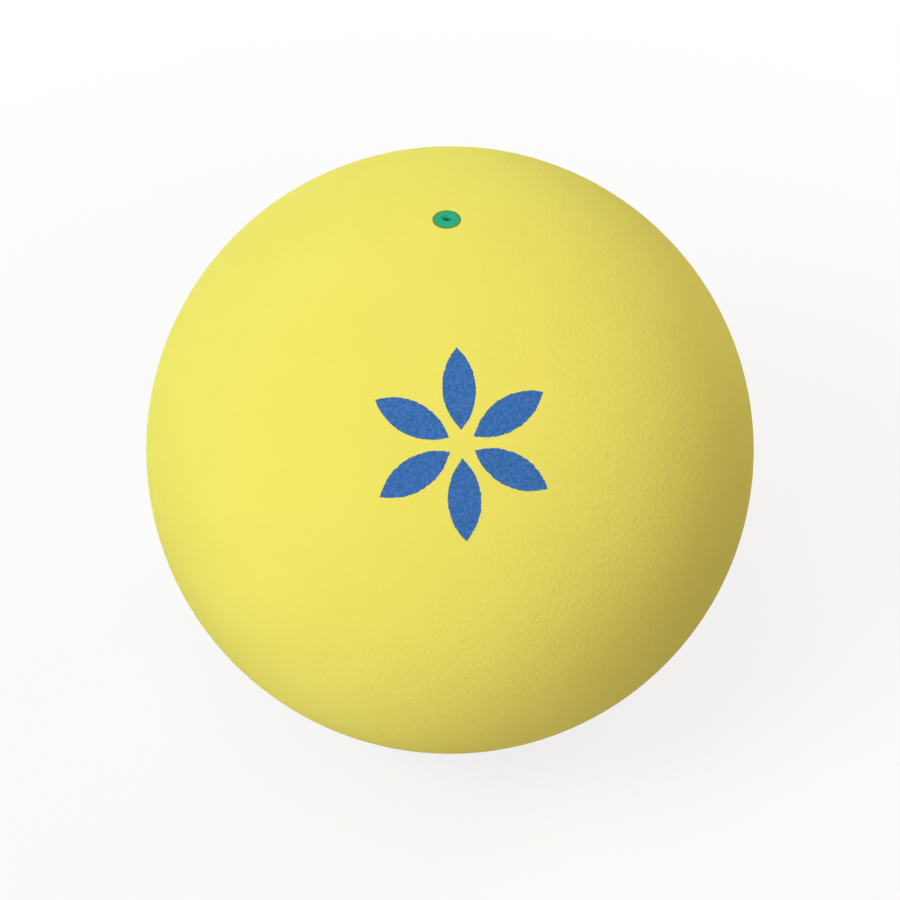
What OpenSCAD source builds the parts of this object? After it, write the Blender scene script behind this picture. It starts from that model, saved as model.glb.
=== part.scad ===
// Soft tennis ball: a hollow rubber ball that is inflated with a needle through a self-sealing valve.
// Two half shells meet at a pinched seam. The valve sits at the top of the upper one: a plug through
// the wall, a pad of gum that closes behind the needle, and a domed cap that holds the gum in place.
// The origin is the centre of the ball, and +Z runs out through the middle of the valve.

/* [Ball] */
// Outside diameter of the ball
ball_d = 66; // [65:0.5:67]
// Thickness of the rubber wall
wall_t = 2.1; // [1.8:0.1:2.4]
// How far the pinched seam stands proud inside the ball
seam_bead_h = 0.6; // [0.3:0.1:0.9]
// Width of the seam's bead along the inner wall
seam_bead_w = 2.6; // [2:0.2:4]

/* [Valve] */
// Diameter of the plug where it shows on the outside of the ball
plug_d = 3; // [2.4:0.1:3.6]
// Diameter of the hole that leads the needle in
needle_hole_d = 0.6; // [0.4:0.1:0.8]
// Diameter of the plug's flange, under the wall
flange_d = 9; // [8:0.5:9.5]
// Thickness of the plug's flange
flange_t = 1.2; // [0.8:0.1:1.6]
// Diameter of the pad of sealing gum
gum_d = 5; // [4:0.5:6]
// Thickness of the pad of sealing gum
gum_t = 1.6; // [1:0.1:2]
// Diameter of the cap where its edge meets the inner wall
cap_d = 14; // [13.5:0.5:16]
// Thickness of the cap under the gum
cap_t = 1.2; // [1:0.1:1.6]

/* [Hidden] */
$fn = 360;

ball_r = ball_d / 2;
inner_r = ball_r - wall_t;

// The bead is part of a circle whose chord lies on the inner wall
bead_r = (pow(seam_bead_w / 2, 2) + pow(seam_bead_h, 2)) / (2 * seam_bead_h);
bead_x = inner_r - seam_bead_h + bead_r;

// Distance of each face of the valve from the centre of the ball, measured along the valve's axis
flange_low = inner_r - flange_t;
gum_low = flange_low - gum_t;
cap_low = gum_low - cap_t;

// The cap's dome is part of a ball that passes through its lowest point and its edge on the wall
cap_r = cap_d / 2;
cap_rise = sqrt(pow(inner_r, 2) - pow(cap_r, 2)) - cap_low;
dome_r = (pow(cap_r, 2) + pow(cap_rise, 2)) / (2 * cap_rise);
dome_z = cap_low + dome_r;

// Half sections. Each is drawn on the +X side and turned about the valve's axis, so that its Y becomes Z.

// A quarter of a disc, centred on the ball
module quarter_disc(r) {
    intersection() {
        circle(r);
        square(r);
    }
}

// Part of a round layer that reaches half_w from the axis and is concentric with the wall
module layer(low, high, half_w) {
    difference() {
        intersection() {
            circle(high);
            square([half_w, high]);
        }
        circle(low);
    }
}

// The space for air, drawn in at the seam by the bead
module air_chamber_section() {
    difference() {
        circle(inner_r);
        translate([bead_x, 0]) circle(bead_r);
    }
}

// The wall of one half, with its flat seam face on the X axis
module wall_section() {
    difference() {
        quarter_disc(ball_r);
        air_chamber_section();
    }
}

module flange_section() {
    layer(flange_low, inner_r, flange_d / 2);
}

module gum_section() {
    layer(gum_low, flange_low, gum_d / 2);
}

// Half shell with the hole that the valve's plug fills
module upper_half_shell() {
    color([0.94, 0.91, 0.41])
        rotate_extrude()
            difference() {
                wall_section();
                square([plug_d / 2, ball_r]);
            }
}

module lower_half_shell() {
    color([0.94, 0.91, 0.41])
        mirror([0, 0, 1])
            rotate_extrude()
                wall_section();
}

// Plug with a round top that is flush with the ball, and a flange bonded to the inner wall
module valve_plug() {
    color([0.18, 0.66, 0.51])
        rotate_extrude()
            difference() {
                union() {
                    layer(flange_low, ball_r, plug_d / 2);
                    flange_section();
                }
                square([needle_hole_d / 2, ball_r]);
            }
}

// Soft pad that the needle pierces, and that closes again when it is drawn out
module sealing_gum() {
    color([0.72, 0.54, 0.28])
        rotate_extrude()
            gum_section();
}

// Domed patch bonded to the inner wall, with a pocket for the flange and the gum
module valve_cap() {
    color([0.86, 0.82, 0.36])
        rotate_extrude()
            difference() {
                intersection() {
                    quarter_disc(inner_r);
                    translate([0, dome_z]) circle(dome_r);
                }
                flange_section();
                gum_section();
            }
}

upper_half_shell();
lower_half_shell();
valve_plug();
sealing_gum();
valve_cap();
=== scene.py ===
"""Looks of a soft tennis ball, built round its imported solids.

Two rubber skins with a moulded grain, the green valve plug with its needle mark, a printed rosette,
a white studio and the camera. Lengths are in metres, in the frame of the solids: the origin is the
centre of the ball, and +Z runs out through the middle of the valve. The printed side faces -Y.
"""

import math

import bpy
import numpy as np
from mathutils import Matrix, Vector


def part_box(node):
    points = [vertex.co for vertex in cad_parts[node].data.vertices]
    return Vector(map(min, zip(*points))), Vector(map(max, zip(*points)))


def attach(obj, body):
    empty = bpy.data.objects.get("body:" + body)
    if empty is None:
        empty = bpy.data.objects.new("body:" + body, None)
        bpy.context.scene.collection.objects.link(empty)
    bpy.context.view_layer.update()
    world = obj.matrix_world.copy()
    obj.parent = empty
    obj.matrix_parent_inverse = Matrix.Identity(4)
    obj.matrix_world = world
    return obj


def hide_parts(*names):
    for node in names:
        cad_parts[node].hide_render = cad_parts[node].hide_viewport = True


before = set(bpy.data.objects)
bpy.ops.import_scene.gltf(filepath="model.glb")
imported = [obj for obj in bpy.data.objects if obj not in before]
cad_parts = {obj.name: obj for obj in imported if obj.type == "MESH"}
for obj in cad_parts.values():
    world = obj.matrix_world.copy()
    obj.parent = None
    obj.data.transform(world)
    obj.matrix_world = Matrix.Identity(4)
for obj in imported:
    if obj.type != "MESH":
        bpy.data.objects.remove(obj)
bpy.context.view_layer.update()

MM = 0.001

# Sizes of the solids
BALL_R = -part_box("lower_half_shell")[0].z
FLANGE_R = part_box("valve_plug")[1].x
WALL_T = 2.1 * MM
PLUG_R = 1.5 * MM
NEEDLE_HOLE_R = 0.3 * MM
FLANGE_T = 1.2 * MM
BEAD_H = 0.6 * MM
BEAD_W = 2.6 * MM
INNER_R = BALL_R - WALL_T
FLANGE_LOW_R = INNER_R - FLANGE_T

# The rounded lip of the valve's hole, and the top of the plug with its rounded edge
LIP_R = 0.09 * MM
PLUG_EDGE_R = 0.12 * MM
PLUG_SUNK = 0.02 * MM
PLUG_TOP_R = BALL_R - PLUG_SUNK

# The needle mark in the plug, which has two lobes and a waist
MARK_HALF_LENGTH = 0.66 * MM
MARK_HALF_WIDTH = 0.4 * MM
MARK_SHIFT = (-0.06 * MM, 0.18 * MM)
MARK_TILT = math.radians(-28)
MARK_DEPTH = 0.4 * MM

# Waves in the mark's torn outline: how many, their share of its radius and their starting angle
MARK_WAVES = ((3, 0.1, 2.2), (7, 0.06, 0.0))

# The plug's top swells near the mark, over a share of the way to its edge, and rolls in at the rim
SWELL_H = 0.035 * MM
SWELL_REACH = 0.22
ROLL_H = 0.02 * MM
ROLL_SHARPNESS = 8

# The share by which the hole is narrower half way down the mark
HOLE_PINCH = 0.35

# The printed rosette: where it sits on the ball, its petals, and how far its ink stands proud
PRINT_LATITUDE = math.radians(43.6)
PRINT_LONGITUDE = math.radians(3.0)
PETALS = 6
PETAL_START = 1.5 * MM
PETAL_END = 10.2 * MM
PETAL_HALF_WIDTH = 1.75 * MM
PETAL_TIP_HALF_WIDTH = 0.08 * MM
INK_H = 0.012 * MM

# The petals' ragged edges: random steps, each blended with its neighbours
RAGGED_STEP = 0.0171 * MM
RAGGED_BLEND = (0.35, 0.7, 1.0, 0.7, 0.35)
RAGGED_SEED = 7

# Mesh densities
SHELL_SEGMENTS = 256
OUTER_RINGS = 97
INNER_RINGS = 33
CURVE_RINGS = 7
PLUG_SEGMENTS = 128
PLUG_TOP_RINGS = 25
PETAL_STEPS = 140
PETAL_ACROSS = 12

# The small flats that close the lower skin at its poles
POLE_R = 0.3 * MM

# Shading: edges sharper than this are corners, and points this near to a ball take its true normals
CORNER_ANGLE = math.radians(40)
BALL_TOLERANCE = 0.002 * MM

# Texture maps, which run from 0 to 1 both ways: a skin's outside and inside, and the plug
TEXTURE_MAP = "OFBake"
OUTSIDE_CENTRE = np.array((0.465, 0.465))
OUTSIDE_MAP_R = 0.455
INSIDE_CENTRE = np.array((0.945, 0.945))
INSIDE_MAP_R = 0.05
INSIDE_END_MAP_R = 0.005
PLUG_CENTRE = np.array((0.5, 0.5))

# Radii on the plug's map: flange, edge of the top, rim and foot of the mark, end of the underside
PLUG_MAP_RADII = (0.49, 0.4, 0.09, 0.05, 0.01)

# Colours, in linear red, green and blue. A pair is what a material's clouds run between
SHELL_YELLOWS = ((0.885, 0.822, 0.158), (0.9, 0.838, 0.164))
VALVE_GREENS = ((0.008, 0.43, 0.3), (0.03, 0.49, 0.24))
# Painted shade down the needle mark
MARK_SHADE_GREEN = (0.018, 0.26, 0.11)
# Painted shade of the groove round the plug's edge, in olive
GROOVE_SHADE_OLIVE = (0.08, 0.345, 0.085)
INK_BLUES = ((0.036, 0.17, 0.435), (0.08, 0.237, 0.61))
THIN_INK = (0.22, 0.36, 0.45)
GUM_BROWNS = ((0.42, 0.2, 0.04), (0.55, 0.3, 0.08))
CAP_YELLOWS = ((0.68, 0.6, 0.1), (0.75, 0.68, 0.13))
WHITE = (1.0, 1.0, 1.0)
COOL = (0.9, 1.0, 0.95)
WARM = (1.0, 0.84, 0.89)
PEACH = (1.0, 0.78, 0.65)

# Sizes of the patterns in the materials
SHELL_CLOUD = 9 * MM
SHELL_FINISH = 0.7 * MM
VALVE_CLOUD = 0.5 * MM
INK_CLOUD = 0.32 * MM
INK_GAP = 0.35 * MM
INNER_CLOUD = 1.5 * MM

# Sizes and heights of the grain
SHELL_GRAIN = (0.42 * MM, 0.074 * MM)
VALVE_GRAIN = (0.3 * MM, 0.07 * MM)
INNER_GRAIN = (0.6 * MM, 0.148 * MM)

# Patterns run from this far below the middle of the noise to this far above it
NOISE_MIDDLE = 0.5
NOISE_SPREAD = 0.2
VALVE_SPREAD = 0.15

# How rough the shell is at the two ends of its finish
SHELL_ROUGHNESS = (0.75, 0.9)

# The plug's green takes painted shade down the needle mark, darkening between these depths in the ball
MARK_SHADE_START = 0.03 * MM
MARK_SHADE_END = 0.15 * MM

# The plug's olive ring, painted shade of the groove round its edge, comes in between these distances
# from the plug's edge
GROOVE_SHADE_START = 0.44 * MM
GROOVE_SHADE_END = 0.22 * MM

# Noise values between which the ink thins, and how much of the thin ink's colour shows there
THIN_START = 0.72
THIN_END = 0.8
THIN_SHARE = 0.5

# The camera: the valve stands 47.4 degrees from the line of sight and a little to the left
CAMERA_ELEVATION = math.radians(42.6)
CAMERA_ROLL = math.radians(0.78)
CAMERA_DISTANCE = 20 * BALL_R
PICTURE_WIDTH_PX = 900
BALL_RADIUS_PX = 303.8
SENSOR_WIDTH_MM = 36.0

# Soft boxes: name, azimuth and elevation in degrees, power in watts, colour
LIGHTS = (
    ("key_low", -50, 43, 3.0, COOL),
    ("key_high", -45, 75, 1.46, WHITE),
    ("fill_right", 22, 20, 1.49, WARM),
    ("fill_left", -30, 20, 1.03, WARM),
    ("side_right", 120, 40, 1.24, PEACH),
    ("rear_right", 150, 4, 2.6, WHITE),
    ("rear_left", -150, 4, 2.6, WHITE),
)
LIGHT_SIZE = 0.35
LIGHT_DISTANCE = 0.8
AMBIENT = (0.08, 0.08, 0.08)

# The floor: its colours to the camera and to the ball, and its shadow, which fades out with distance
FLOOR_HALF_WIDTH = 1.5
FLOOR_SEEN = (0.95, 0.95, 0.95)
FLOOR_BOUNCE = (0.3, 0.3, 0.3)
SHADOW_NEAR = 0.06
SHADOW_FAR = 0.12
SHADOW_SHARE = 0.2


def link(name, mesh):
    """A new object for a mesh, in the scene and riding with the ball."""
    piece = bpy.data.objects.new(name, mesh)
    bpy.context.scene.collection.objects.link(piece)
    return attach(piece, "root")


def smooth(mesh, radius):
    """Shades a mesh smooth up to its corners. Faces at this radius get the true normals of a ball."""
    mesh.shade_smooth()
    mesh.set_sharp_from_angle(angle=CORNER_ANGLE)
    points = np.array([v.co for v in mesh.vertices])
    distance = np.linalg.norm(points, axis=1)
    on_ball = np.abs(distance - radius) < BALL_TOLERANCE
    normals = np.zeros((len(mesh.loops), 3))
    for face in mesh.polygons:
        corners = list(face.vertices)
        if on_ball[corners].all():
            normals[face.loop_indices] = points[corners] / distance[corners, None]
    mesh.normals_split_custom_set(normals)


def round_angles(count):
    """Even angles once round a circle."""
    return np.arange(count) * math.tau / count


def circle(count):
    """Even points (x, y) on a circle of radius 1."""
    angles = round_angles(count)
    return np.column_stack((np.cos(angles), np.sin(angles)))


def arc(radius, start, end, count, centre=(0.0, 0.0)):
    """Points (r, z) along part of a circle in a half section, by the angle from the Z axis."""
    angles = np.linspace(start, end, count)
    return np.column_stack((centre[0] + radius * np.sin(angles), centre[1] + radius * np.cos(angles)))


def layer(radius, start_r, end_r, count):
    """Points (r, z) at this radius from the ball's centre, between two distances from the axis."""
    return arc(radius, math.asin(start_r / radius), math.asin(end_r / radius), count)


def turned(section, count):
    """A ring of points for each point (r, z) of a half section."""
    rings = np.zeros((len(section), count, 3))
    rings[:, :, :2] = section[:, None, :1] * circle(count)
    rings[:, :, 2] = section[:, 1:]
    return rings


def map_strips(centre, radii):
    """Strips of a texture map between rings of these radii, as (centre, first radius, second radius)."""
    return [(centre, first, second) for first, second in zip(radii[:-1], radii[1:])]


def ring_mesh(name, rings, strips, closed):
    """Joins each ring to the next, and the last to the first if closed, or else caps both ends.
    There is a strip of the texture map for each pair of rings that are joined."""
    ring_count, count, _ = rings.shape
    index = np.arange(ring_count * count).reshape(ring_count, count)
    along = np.roll(index, -1, axis=0)
    quads = np.stack((index, np.roll(index, -1, axis=1), np.roll(along, -1, axis=1), along), axis=2)
    faces = quads[: len(strips)].reshape(-1, 4).tolist()
    turn = circle(count)
    after = np.roll(turn, -1, axis=0)
    places = []
    for centre, first, second in strips:
        corners = (first * turn, first * after, second * after, second * turn)
        places.append(np.stack(corners, axis=1).reshape(-1, 2) + centre)
    if not closed:
        faces += [index[0][::-1].tolist(), index[-1].tolist()]
        first_centre, first_radius, _ = strips[0]
        last_centre, _, last_radius = strips[-1]
        places += [first_radius * turn[::-1] + first_centre, last_radius * turn + last_centre]
    mesh = bpy.data.meshes.new(name)
    mesh.from_pydata(rings.reshape(-1, 3).tolist(), [], faces)
    texture_map = mesh.uv_layers.new(name=TEXTURE_MAP)
    texture_map.data.foreach_set("uv", np.concatenate(places).ravel())
    return mesh


def bead_section():
    """The seam's bead, from the inner wall to the seam, and its starting angle from the Z axis."""
    radius = ((BEAD_W / 2) ** 2 + BEAD_H**2) / (2 * BEAD_H)
    centre_r = INNER_R - BEAD_H + radius
    meet_r = (INNER_R**2 - radius**2 + centre_r**2) / (2 * centre_r)
    meet_z = math.sqrt(INNER_R**2 - meet_r**2)
    start = math.atan2(meet_r - centre_r, meet_z)
    return arc(radius, start, -math.pi / 2, CURVE_RINGS, (centre_r, 0.0)), math.atan2(meet_r, meet_z)


def shell_strips(angles, count):
    """A skin's strips on its texture map: the outside at true area in a large disc, by the angles of its
    rings from the Z axis, and the rest in a small one."""
    outside = OUTSIDE_MAP_R * math.sqrt(2) * np.sin(np.asarray(angles) / 2)
    inside = np.linspace(INSIDE_MAP_R, INSIDE_END_MAP_R, count - len(angles) + 2)
    return map_strips(OUTSIDE_CENTRE, outside) + map_strips(INSIDE_CENTRE, inside)


def upper_skin():
    """The half with the valve's hole, whose edge is rounded over."""
    centre_r = PLUG_R + LIP_R
    centre_z = math.sqrt((BALL_R - LIP_R) ** 2 - centre_r**2)
    lip_angle = math.atan2(centre_r, centre_z)
    outer = arc(BALL_R, math.pi / 2, lip_angle, OUTER_RINGS)
    lip = arc(LIP_R, lip_angle, -math.pi / 2, CURVE_RINGS, (centre_r, centre_z))
    bead, bead_angle = bead_section()
    inner = arc(INNER_R, math.asin(PLUG_R / INNER_R), bead_angle, INNER_RINGS)
    section = np.concatenate((outer, lip[1:], inner, bead[1:]))
    outer_angles = np.linspace(math.pi / 2, lip_angle, OUTER_RINGS)
    lip_angles = np.linspace(lip_angle, lip_angle / 2, CURVE_RINGS)
    strips = shell_strips([*outer_angles, *lip_angles[1:]], len(section))
    mesh = ring_mesh("upper_skin", turned(section, SHELL_SEGMENTS), strips, closed=True)
    smooth(mesh, BALL_R)
    return link("upper_skin", mesh)


def lower_skin():
    """The half without a valve, from its outer pole round the seam to its inner pole."""
    pole = POLE_R / BALL_R
    bead, bead_angle = bead_section()
    inner = arc(INNER_R, pole, bead_angle, INNER_RINGS)
    outer = arc(BALL_R, math.pi / 2, pole, OUTER_RINGS)
    section = np.concatenate((inner, bead[1:], outer))[::-1] * (1, -1)
    strips = shell_strips(np.linspace(pole, math.pi / 2, OUTER_RINGS), len(section) - 1)
    mesh = ring_mesh("lower_skin", turned(section, SHELL_SEGMENTS), strips, closed=False)
    smooth(mesh, BALL_R)
    return link("lower_skin", mesh)


def plug_outside():
    """Rings of the plug from its flange's lower edge to the edge of its top."""
    centre_r = PLUG_R - PLUG_EDGE_R
    centre_z = math.sqrt((PLUG_TOP_R - PLUG_EDGE_R) ** 2 - centre_r**2)
    edge_angle = math.atan2(centre_r, centre_z)
    rim = layer(FLANGE_LOW_R, FLANGE_R, FLANGE_R, 1)
    flange = layer(INNER_R, FLANGE_R, PLUG_R, CURVE_RINGS)
    edge = arc(PLUG_EDGE_R, math.pi / 2, edge_angle, CURVE_RINGS, (centre_r, centre_z))
    return turned(np.concatenate((rim, flange, edge)), PLUG_SEGMENTS)


def needle_mark():
    """The torn outline that needles have left in the plug, as points (x, y)."""
    angles = round_angles(PLUG_SEGMENTS)
    lobes = np.abs(np.cos(angles - MARK_TILT))
    wobble = 1
    for count, share, start in MARK_WAVES:
        wobble = wobble + share * np.sin(count * angles + start)
    radius = wobble * (MARK_HALF_WIDTH + (MARK_HALF_LENGTH - MARK_HALF_WIDTH) * lobes)
    return radius[:, None] * circle(PLUG_SEGMENTS) + MARK_SHIFT


def plug_top(edge, mark):
    """Rings over the plug's top, from its edge to the mark."""
    rings = []
    for share in np.linspace(0, 1, PLUG_TOP_RINGS)[1:]:
        flat = (1 - share) * edge + share * mark
        away = np.linalg.norm(flat, axis=1)
        swell = SWELL_H * np.exp(-(((1 - share) / SWELL_REACH) ** 2)) - ROLL_H * share**ROLL_SHARPNESS
        rings.append(np.column_stack((flat, np.sqrt(PLUG_TOP_R**2 - away**2) + swell)))
    return np.array(rings)


def plug_hole(rim):
    """Rings down the mark, from its rim to the round needle hole."""
    rings = []
    for share in np.linspace(0, 1, CURVE_RINGS)[1:]:
        pinch = 1 - HOLE_PINCH * math.sin(math.pi * share)
        flat = ((1 - share) * rim[:, :2] + share * NEEDLE_HOLE_R * circle(PLUG_SEGMENTS)) * pinch
        rings.append(np.column_stack((flat, rim[:, 2] - share * MARK_DEPTH)))
    return np.array(rings)


def plug_underside():
    """Rings of the flange's lower face, from the needle hole to just short of its edge."""
    return turned(layer(FLANGE_LOW_R, NEEDLE_HOLE_R, FLANGE_R, CURVE_RINGS)[:-1], PLUG_SEGMENTS)


def green_plug():
    """The green plug, with its needle mark torn open at the top."""
    outside = plug_outside()
    top = plug_top(outside[-1][:, :2], needle_mark())
    parts = (outside, top, plug_hole(top[-1]), plug_underside())
    ends = np.cumsum([len(part) for part in parts])
    radii = np.interp(np.arange(ends[-1] + 1), [0, *(ends[:-1] - 1), ends[-1]], PLUG_MAP_RADII)
    mesh = ring_mesh("green_plug", np.concatenate(parts), map_strips(PLUG_CENTRE, radii), closed=True)
    smooth(mesh, INNER_R)
    return link("green_plug", mesh)


def ragged(generator):
    """Small smooth random steps along one edge of a petal."""
    steps = generator.normal(size=PETAL_STEPS + len(RAGGED_BLEND) - 1)
    return RAGGED_STEP * np.convolve(steps, RAGGED_BLEND, mode="valid")


def petal(generator, turn):
    """One petal as rows of points (x, y) on the flattened print. Two arcs bound it."""
    length = PETAL_END - PETAL_START
    arc_r = (length**2 / 4 + PETAL_HALF_WIDTH**2) / (2 * PETAL_HALF_WIDTH)
    along = np.linspace(-length / 2, length / 2, PETAL_STEPS)
    half_width = np.sqrt(arc_r**2 - along**2) - (arc_r - PETAL_HALF_WIDTH)
    half_width = np.maximum(half_width, PETAL_TIP_HALF_WIDTH)
    left = -half_width + ragged(generator)
    right = half_width + ragged(generator)
    share = np.linspace(0, 1, PETAL_ACROSS)
    across = left[:, None] * (1 - share) + right[:, None] * share
    out = along[:, None] + (PETAL_START + PETAL_END) / 2 + np.zeros_like(across)
    return np.stack((out * math.cos(turn) - across * math.sin(turn),
                     out * math.sin(turn) + across * math.cos(turn)), axis=2)


def on_print(flat, radius):
    """Points at this radius from the ball's centre for points (x, y) of the flattened print."""
    middle = Vector((math.sin(PRINT_LONGITUDE) * math.cos(PRINT_LATITUDE),
                     -math.cos(PRINT_LONGITUDE) * math.cos(PRINT_LATITUDE),
                     math.sin(PRINT_LATITUDE)))
    east = Vector((0, 0, 1)).cross(middle).normalized()
    north = middle.cross(east)
    away = np.linalg.norm(flat, axis=-1, keepdims=True)
    heading = (flat[..., :1] * np.array(east) + flat[..., 1:] * np.array(north)) / away
    angle = away / BALL_R
    return radius * (np.cos(angle) * np.array(middle) + np.sin(angle) * heading)


def slab(top, bottom):
    """Points and faces of a thin closed sheet between two grids of points."""
    rows, columns, _ = top.shape
    index = np.arange(rows * columns).reshape(rows, columns)
    corners = (index[:-1, :-1], index[1:, :-1], index[1:, 1:], index[:-1, 1:])
    quads = np.stack(corners, axis=2).reshape(-1, 4)
    border = np.concatenate((index[0, :-1], index[:-1, -1], index[-1, :0:-1], index[:0:-1, 0]))
    after = np.roll(border, -1)
    under = rows * columns
    sides = np.column_stack((border, after, after + under, border + under))
    faces = np.concatenate((quads, quads[:, ::-1] + under, sides))
    return np.concatenate((top.reshape(-1, 3), bottom.reshape(-1, 3))), faces


def printed_rosette():
    """Petals of ink on the front of the ball, a plain ornament with slightly ragged edges."""
    generator = np.random.default_rng(RAGGED_SEED)
    points = []
    faces = []
    made = 0
    for number in range(PETALS):
        flat = petal(generator, math.pi / 2 + number * math.tau / PETALS)
        vertices, quads = slab(on_print(flat, BALL_R + INK_H), on_print(flat, BALL_R - INK_H))
        points.append(vertices)
        faces.append(quads + made)
        made += len(vertices)
    mesh = bpy.data.meshes.new("printed_rosette")
    mesh.from_pydata(np.concatenate(points).tolist(), [], np.concatenate(faces).tolist())
    smooth(mesh, BALL_R + INK_H)
    return link("printed_rosette", mesh)


def fill(tree, node, inputs):
    """Sets a shader node's inputs to values, or links them to other nodes' outputs."""
    for name, value in inputs.items():
        if isinstance(value, bpy.types.NodeSocket):
            tree.links.new(value, node.inputs[name])
        else:
            node.inputs[name].default_value = value


def add(tree, kind, inputs=None, **settings):
    """A new shader node with its settings and inputs."""
    made = tree.nodes.new("ShaderNode" + kind)
    for name, value in settings.items():
        setattr(made, name, value)
    fill(tree, made, inputs or {})
    return made


def vector_length(tree, vector):
    """How long a vector is."""
    return add(tree, "VectorMath", {0: vector}, operation="LENGTH").outputs["Value"]


def from_axis(tree, place):
    """How far a place is from the Z axis."""
    flat = add(tree, "VectorMath", {0: place, 1: (1, 1, 0)}, operation="MULTIPLY").outputs[0]
    return vector_length(tree, flat)


def ranged(tree, factor, start, end, low=0.0, high=1.0):
    """The factor's stretch from start to end, mapped to low to high."""
    inputs = {"Value": factor, "From Min": start, "From Max": end, "To Min": low, "To Max": high}
    return add(tree, "MapRange", inputs).outputs["Result"]


def mixed(tree, factor, first, second):
    """A mix of two colours, each a node's output or a value."""
    made = add(tree, "Mix", data_type="RGBA")
    index = {socket.identifier: number for number, socket in enumerate(made.inputs)}
    fill(tree, made, {index["Factor_Float"]: factor})
    for name, colour in (("A_Color", first), ("B_Color", second)):
        value = colour if isinstance(colour, bpy.types.NodeSocket) else (*colour, 1)
        fill(tree, made, {index[name]: value})
    return {socket.identifier: socket for socket in made.outputs}["Result_Color"]


def noise(tree, place, size, detail=2.0):
    """Noise whose features are about this size."""
    return add(tree, "TexNoise", {"Vector": place, "Scale": 1 / size, "Detail": detail}).outputs["Fac"]


def clouds(tree, place, size, colours, spread=NOISE_SPREAD, detail=2.0):
    """Soft clouds of about this size that run between two colours."""
    made = add(tree, "ValToRGB", {"Fac": noise(tree, place, size, detail)})
    for stop, colour, side in zip(made.color_ramp.elements, colours, (-spread, spread)):
        stop.position = NOISE_MIDDLE + side
        stop.color = (*colour, 1)
    return made.outputs["Color"]


def grain(tree, place, size, height):
    """Normals of a fine moulded grain, as bumps of about this size and height."""
    pebbles = noise(tree, place, size, detail=1.0)
    return add(tree, "Bump", {"Height": pebbles, "Strength": 1.0, "Distance": height}).outputs["Normal"]


def new_material(name):
    """A node material: the material, its tree, its shader and its coordinates."""
    made = bpy.data.materials.new(name)
    made.use_nodes = True
    tree = made.node_tree
    return made, tree, tree.nodes["Principled BSDF"], add(tree, "TexCoord").outputs["Object"]


def shell_rubber():
    """Matt yellow rubber: slight clouds of colour, and the grain of the mould."""
    made, tree, shader, place = new_material("shell_rubber")
    finish = noise(tree, place, SHELL_FINISH)
    start = NOISE_MIDDLE - NOISE_SPREAD
    end = NOISE_MIDDLE + NOISE_SPREAD
    fill(tree, shader, {
        "Base Color": clouds(tree, place, SHELL_CLOUD, SHELL_YELLOWS),
        "Roughness": ranged(tree, finish, start, end, *SHELL_ROUGHNESS),
        "Diffuse Roughness": 0.75,
        "Specular IOR Level": 0.02,
        "Normal": grain(tree, place, *SHELL_GRAIN),
    })
    return made


def valve_rubber():
    """Green rubber with painted shade, dark down the needle mark and olive in a ring at the plug's edge.
    """
    made, tree, shader, place = new_material("valve_rubber")
    green = clouds(tree, place, VALVE_CLOUD, VALVE_GREENS, VALVE_SPREAD)
    # Painted shade: the green darkens with depth down the needle mark
    down = ranged(tree, vector_length(tree, place), BALL_R - MARK_SHADE_START, BALL_R - MARK_SHADE_END)
    torn = mixed(tree, down, green, MARK_SHADE_GREEN)
    # Painted shade: an olive ring at the plug's edge, where the groove round it falls in shade
    ring = ranged(tree, from_axis(tree, place), PLUG_R - GROOVE_SHADE_START, PLUG_R - GROOVE_SHADE_END)
    fill(tree, shader, {
        "Base Color": mixed(tree, ring, torn, GROOVE_SHADE_OLIVE),
        "Roughness": 0.5,
        "Specular IOR Level": 0.1,
        "Normal": grain(tree, place, *VALVE_GRAIN),
    })
    return made


def print_ink():
    """Blue ink over the grain of the rubber, mottled and thinner in spots."""
    made, tree, shader, place = new_material("print_ink")
    blue = clouds(tree, place, INK_CLOUD, INK_BLUES, detail=1.0)
    gaps = noise(tree, place, INK_GAP, detail=1.0)
    thin = ranged(tree, gaps, THIN_START, THIN_END, 0.0, THIN_SHARE)
    fill(tree, shader, {
        "Base Color": mixed(tree, thin, blue, THIN_INK),
        "Roughness": 0.6,
        "Diffuse Roughness": 1.0,
        "Specular IOR Level": 0.05,
        "Normal": grain(tree, place, *SHELL_GRAIN),
    })
    return made


def inner_rubber(name, colours, roughness):
    """Rubber of the pieces inside the ball, in clouds between two colours."""
    made, tree, shader, place = new_material(name)
    fill(tree, shader, {
        "Base Color": clouds(tree, place, INNER_CLOUD, colours),
        "Roughness": roughness,
        "Specular IOR Level": 0.4,
        "Normal": grain(tree, place, *INNER_GRAIN),
    })
    return made


def dress(piece, material):
    """Puts one material on a piece or a solid."""
    piece.data.materials.clear()
    piece.data.materials.append(material)


def camera_axes():
    """The camera's right, up and backward directions in the frame."""
    back = Vector((0, -math.cos(CAMERA_ELEVATION), math.sin(CAMERA_ELEVATION)))
    level = Vector((1, 0, 0))
    upright = back.cross(level)
    right = level * math.cos(CAMERA_ROLL) - upright * math.sin(CAMERA_ROLL)
    return right, back.cross(right), back


def set_camera():
    """Looks at the ball's centre from the photograph's angle, with the photograph's framing."""
    right, up, back = camera_axes()
    edge = BALL_R / math.sqrt(CAMERA_DISTANCE**2 - BALL_R**2)
    data = bpy.data.cameras.new("camera")
    data.sensor_width = SENSOR_WIDTH_MM
    data.lens = BALL_RADIUS_PX / edge * SENSOR_WIDTH_MM / PICTURE_WIDTH_PX
    camera = bpy.data.objects.new("camera", data)
    turn = Matrix((right, up, back)).transposed().to_4x4()
    camera.matrix_world = Matrix.Translation(back * CAMERA_DISTANCE) @ turn
    bpy.context.scene.collection.objects.link(camera)
    bpy.context.scene.camera = camera


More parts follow.
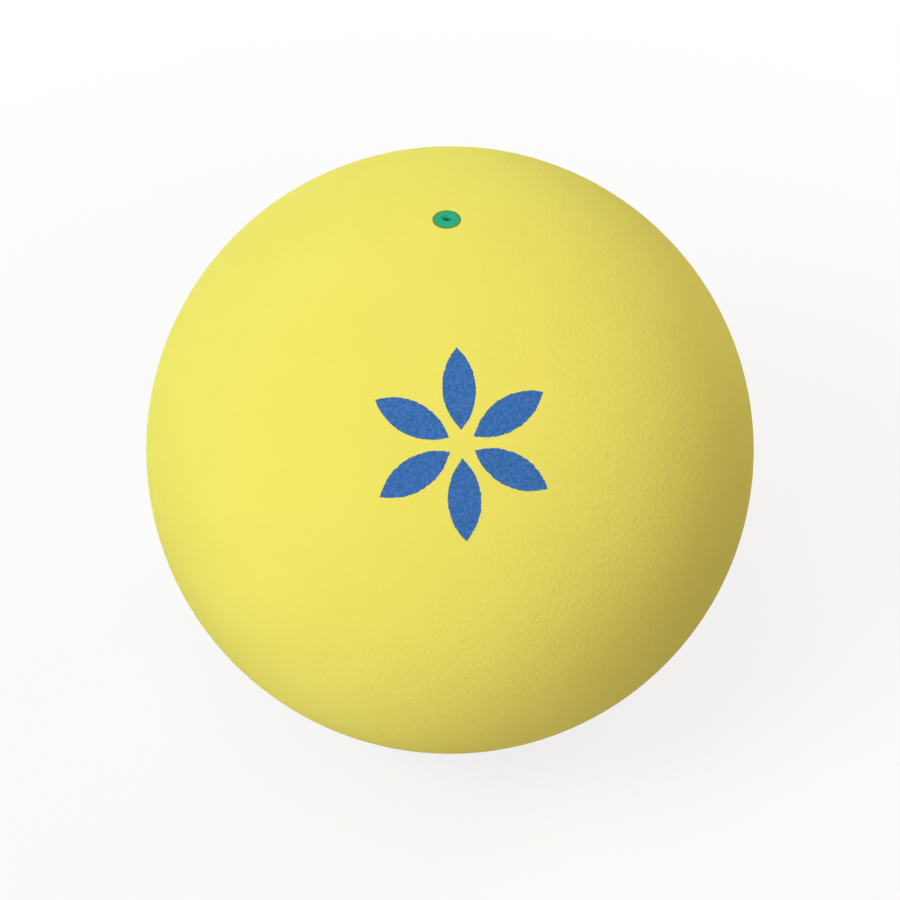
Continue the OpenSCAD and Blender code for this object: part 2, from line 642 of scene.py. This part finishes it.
def add_light(name, azimuth, elevation, power, colour):
    """A square soft box that faces the ball. Azimuth 0 is the printed side, and 90 is to its right."""
    turn = math.radians(azimuth)
    rise = math.radians(elevation)
    away = Vector((math.sin(turn) * math.cos(rise), -math.cos(turn) * math.cos(rise), math.sin(rise)))
    data = bpy.data.lights.new(name, "AREA")
    data.size = LIGHT_SIZE
    data.energy = power
    data.color = colour
    lamp = bpy.data.objects.new(name, data)
    lamp.location = away * LIGHT_DISTANCE
    lamp.rotation_mode = "QUATERNION"
    lamp.rotation_quaternion = away.to_track_quat("Z", "Y")
    bpy.context.scene.collection.objects.link(lamp)


def seen_directly(tree):
    """1 for what the camera sees, directly or in a mirror or glass, and 0 for light on the object."""
    path = add(tree, "LightPath").outputs
    seen = path["Is Camera Ray"]
    for kind in ("Is Glossy Ray", "Is Transmission Ray"):
        seen = add(tree, "Math", {0: seen, 1: path[kind]}, operation="MAXIMUM").outputs[0]
    return seen


def set_world():
    """Even light from all round, and a white backdrop for the camera."""
    world = bpy.data.worlds.new("studio")
    bpy.context.scene.world = world
    world.use_nodes = True
    tree = world.node_tree
    fill(tree, tree.nodes["Background"], {"Color": mixed(tree, seen_directly(tree), AMBIENT, WHITE)})


def white_floor():
    """The floor's material. It keeps a soft shadow near the ball and fades to plain white."""
    made, tree, shader, place = new_material("white_floor")
    tree.nodes.remove(shader)
    seen = seen_directly(tree)
    lit = add(tree, "BsdfDiffuse", {"Color": mixed(tree, seen, FLOOR_BOUNCE, FLOOR_SEEN)}).outputs[0]
    plain = add(tree, "Emission", {"Color": (*WHITE, 1), "Strength": 1.0}).outputs[0]
    white = ranged(tree, from_axis(tree, place), SHADOW_NEAR, SHADOW_FAR, 1 - SHADOW_SHARE, 1.0)
    shown = add(tree, "Math", {0: white, 1: seen}, operation="MULTIPLY").outputs[0]
    surface = add(tree, "MixShader", {0: shown, 1: lit, 2: plain}).outputs[0]
    fill(tree, tree.nodes["Material Output"], {"Surface": surface})
    return made


def set_floor():
    """A white floor that the ball stands on."""
    mesh = bpy.data.meshes.new("floor")
    signs = ((-1, -1), (1, -1), (1, 1), (-1, 1))
    corners = [(x * FLOOR_HALF_WIDTH, y * FLOOR_HALF_WIDTH, -BALL_R) for x, y in signs]
    mesh.from_pydata(corners, [], [(0, 1, 2, 3)])
    floor = bpy.data.objects.new("floor", mesh)
    bpy.context.scene.collection.objects.link(floor)
    dress(floor, white_floor())


rubber = shell_rubber()
for skin, node in ((upper_skin(), "upper_half_shell"), (lower_skin(), "lower_half_shell")):
    dress(skin, rubber)
    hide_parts(node)

plug = green_plug()
dress(plug, valve_rubber())
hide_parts("valve_plug")

rosette = printed_rosette()
dress(rosette, print_ink())

dress(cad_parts["sealing_gum"], inner_rubber("sealing_gum", GUM_BROWNS, roughness=0.25))
dress(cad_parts["valve_cap"], inner_rubber("cap_rubber", CAP_YELLOWS, roughness=0.6))

set_camera()
set_world()
set_floor()
for light in LIGHTS:
    add_light(*light)
bpy.context.scene.view_settings.view_transform = "Standard"
